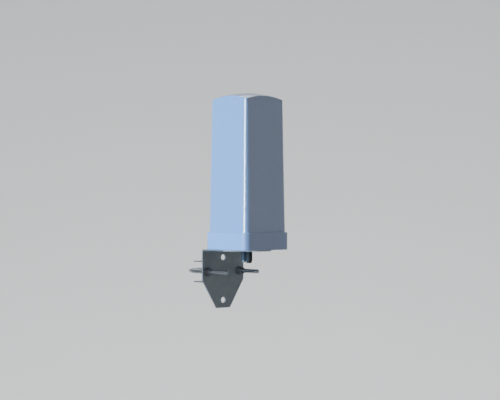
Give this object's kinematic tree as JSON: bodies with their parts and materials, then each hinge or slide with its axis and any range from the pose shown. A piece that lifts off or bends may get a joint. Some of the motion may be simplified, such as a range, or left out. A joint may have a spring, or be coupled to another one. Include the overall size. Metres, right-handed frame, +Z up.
{
  "type": "mast mounted directional antenna",
  "caption": "Directional radio antenna in a tapered square radome with a domed top, on a base housing with an L-shaped steel bracket, a U-bolt mast clamp and coaxial ports below.",
  "frame": {"origin": "on the axis of the clamped mast, at the height of the U-bolt", "axes": "+Z up along the mast and the radome, -Y from the mast towards the antenna, +X to the right seen from -Y"},
  "size_m": [0.1122, 0.1979, 0.3982],
  "materials": {
    "radome_plastic": "satin moulded ASA, light grey-white",
    "housing_plastic": "satin moulded ASA, light grey-white",
    "seal_rubber": "EPDM seal",
    "stainless_screw": "stainless steel fasteners",
    "bracket_steel": "dull grey passivated sheet steel",
    "insert_brass": "machined brass",
    "vent_plastic": "black nylon",
    "clamp_zinc": "zinc plated steel rod",
    "washer_zinc": "zinc plated steel",
    "spring_steel": "dark spring steel",
    "nut_zinc": "zinc plated steel",
    "saddle_zinc": "zinc plated sheet steel",
    "jack_nickel": "nickel plated brass",
    "contact_gold": "gold plated brass",
    "insulator_ptfe": "white PTFE",
    "coax_copper": "tinned copper feed line",
    "cap_rubber": "black push-on cap",
    "ground_aluminium": "mill finish aluminium sheet",
    "board_laminate": "glass-epoxy laminate with green mask",
    "board_copper": "tinned copper tracks",
    "clip_steel": "zinc plated steel",
    "foam": "closed-cell polyethylene foam"
  },
  "bodies": {
    "antenna": {"radome": "radome_plastic", "base_housing": "housing_plastic", "base_gasket": "seal_rubber", "radome_screws": "stainless_screw", "bracket": "bracket_steel", "bracket_screws": "stainless_screw", "base_inserts": "insert_brass", "vent_plug": "vent_plastic", "left_washer": "washer_zinc", "right_washer": "washer_zinc", "left_spring_washer": "spring_steel", "right_spring_washer": "spring_steel", "front_jack": "jack_nickel", "rear_jack": "jack_nickel", "front_jack_seal": "seal_rubber", "rear_jack_seal": "seal_rubber", "front_jack_nut": "jack_nickel", "rear_jack_nut": "jack_nickel", "front_insulator": "insulator_ptfe", "rear_insulator": "insulator_ptfe", "front_contact": "contact_gold", "rear_contact": "contact_gold", "front_coax": "coax_copper", "rear_coax": "coax_copper", "ground_plate": "ground_aluminium", "ground_screws": "stainless_screw", "board_a": "board_laminate", "board_b": "board_laminate", "board_a_copper": "board_copper", "board_b_copper": "board_copper", "board_clips": "clip_steel", "clip_rivets": "clip_steel", "top_foam": "foam"},
    "u_bolt": {"u_bolt": "clamp_zinc"},
    "saddle": {"saddle": "saddle_zinc"},
    "left_nut": {"left_nut": "nut_zinc"},
    "right_nut": {"right_nut": "nut_zinc"},
    "dust_cap": {"dust_cap": "cap_rubber"}
  },
  "joints": [
    {"name": "clamp_slide", "type": "slide", "parent": "antenna", "child": "u_bolt", "axis": [0, 1, 0], "range_m": [0, 0.02]},
    {"name": "left_nut_turn", "type": "hinge", "parent": "antenna", "child": "left_nut", "pos_m": [-0.04, -0.05, 0], "axis": [0, -1, 0], "range_deg": [0, 5760]},
    {"name": "right_nut_turn", "type": "hinge", "parent": "antenna", "child": "right_nut", "pos_m": [0.04, -0.05, 0], "axis": [0, -1, 0], "range_deg": [0, 5760]},
    {"name": "saddle_slide", "type": "slide", "parent": "antenna", "child": "saddle", "axis": [0, 1, 0], "range_m": [0, 0.012]},
    {"name": "cap_pull", "type": "slide", "parent": "antenna", "child": "dust_cap", "axis": [0, 0, -1], "range_m": [0, 0.02]}
  ],
  "couplings": [
    {"joint": "left_nut_turn", "follows": "clamp_slide", "rad_per_m": 5026.5},
    {"joint": "right_nut_turn", "follows": "clamp_slide", "rad_per_m": 5026.5}
  ]
}
